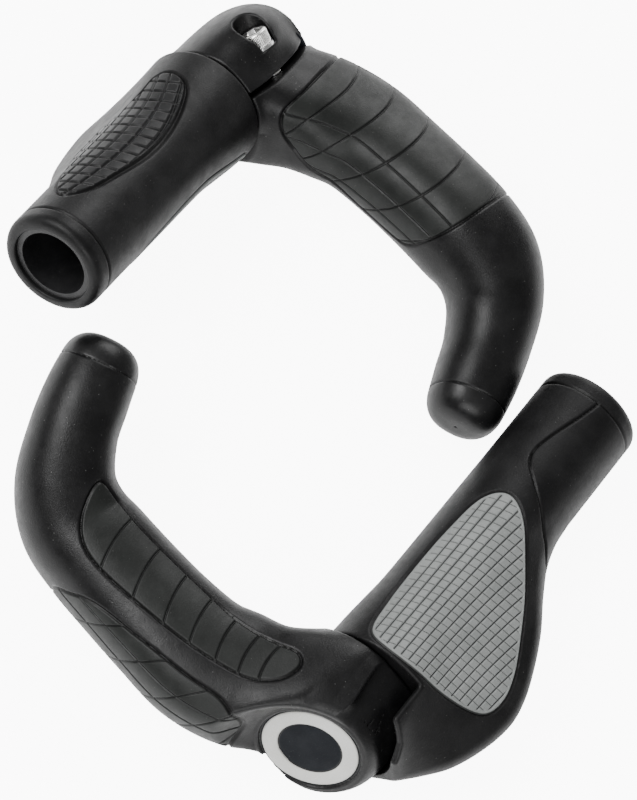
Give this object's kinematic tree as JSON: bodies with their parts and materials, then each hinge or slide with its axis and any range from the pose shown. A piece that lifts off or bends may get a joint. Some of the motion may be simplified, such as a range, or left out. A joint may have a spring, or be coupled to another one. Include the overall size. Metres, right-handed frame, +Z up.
{
  "type": "bicycle grips with bar ends",
  "caption": "Ergonomic handlebar grips with a palm wing and a clamped bar end on each, laid out as a left and right pair; the clamp screw lets each bar end turn.",
  "frame": {"origin": "centre of the pair's footprint on the floor", "axes": "+Z up from the floor; the grips' tubes lie roughly along X and the bar ends point roughly along +Y (left grip, right side up) and -Y (right grip, upside down)"},
  "size_m": [0.2148, 0.2262, 0.0725],
  "materials": {
    "body_rubber": "matte, fine grain",
    "grey_pad": "matte, moulded tiles",
    "black_pad": "matte, moulded tiles",
    "end_rubber": "satin, fine grain",
    "composite": "satin, fine grain",
    "inlay_rubber": "matte, moulded ribs",
    "tip_plastic": "satin",
    "core_plastic": "satin",
    "shim_metal": "satin",
    "insert_brass": "turned",
    "screw_steel": "zinc plated, knurled head",
    "washer_steel": "zinc plated",
    "cap_plastic": "gloss",
    "ring_plastic": "satin"
  },
  "bodies": {
    "grips": {"left_grip_sleeve": "core_plastic", "left_grip_rubber": "body_rubber", "left_palm_pad": "grey_pad", "left_underside_pad": "black_pad", "left_end_panel": "end_rubber", "right_grip_sleeve": "core_plastic", "right_grip_rubber": "body_rubber", "right_palm_pad": "grey_pad", "right_underside_pad": "black_pad", "right_end_panel": "end_rubber"},
    "left_bar_end": {"left_bar_end_body": "composite", "left_top_inlay": "inlay_rubber", "left_bottom_inlay": "inlay_rubber", "left_tip_cap": "tip_plastic", "left_clamp_shim": "shim_metal", "left_threaded_insert": "insert_brass", "left_end_cap": "cap_plastic", "left_end_cap_ring": "ring_plastic"},
    "left_washer": {"left_screw_washer": "washer_steel"},
    "left_screw": {"left_clamp_screw": "screw_steel"},
    "right_bar_end": {"right_bar_end_body": "composite", "right_top_inlay": "inlay_rubber", "right_bottom_inlay": "inlay_rubber", "right_tip_cap": "tip_plastic", "right_clamp_shim": "shim_metal", "right_threaded_insert": "insert_brass", "right_end_cap": "cap_plastic", "right_end_cap_ring": "ring_plastic"},
    "right_washer": {"right_screw_washer": "washer_steel"},
    "right_screw": {"right_clamp_screw": "screw_steel"}
  },
  "joints": [
    {"name": "left_bar_end_angle", "type": "hinge", "parent": "grips", "child": "left_bar_end", "pos_m": [-0.06798, -0.07185, 0.02687], "axis": [0.9972, -0.0005, -0.075], "range_deg": [-5, 55]},
    {"name": "left_screw_travel", "type": "slide", "parent": "left_bar_end", "child": "left_washer", "axis": [-0.0424, -0.8283, -0.5586], "range_m": [0, 0.0024]},
    {"name": "left_screw_turn", "type": "hinge", "parent": "left_washer", "child": "left_screw", "pos_m": [-0.07691, -0.06955, 0.00803], "axis": [-0.0424, -0.8283, -0.5586], "range_deg": [0, 1080]},
    {"name": "right_bar_end_angle", "type": "hinge", "parent": "grips", "child": "right_bar_end", "pos_m": [0.06717, 0.08558, 0.02679], "axis": [0.9542, 0.0327, -0.2974], "range_deg": [-57, 2]},
    {"name": "right_screw_travel", "type": "slide", "parent": "right_bar_end", "child": "right_washer", "axis": [0.1567, 0.7922, 0.5898], "range_m": [0, 0.0024]},
    {"name": "right_screw_turn", "type": "hinge", "parent": "right_washer", "child": "right_screw", "pos_m": [0.08017, 0.08235, 0.04293], "axis": [0.1567, 0.7922, 0.5898], "range_deg": [0, 1080]}
  ],
  "couplings": [
    {"joint": "left_screw_turn", "follows": "left_screw_travel", "rad_per_m": 7853.9},
    {"joint": "right_screw_turn", "follows": "right_screw_travel", "rad_per_m": 7853.9}
  ]
}
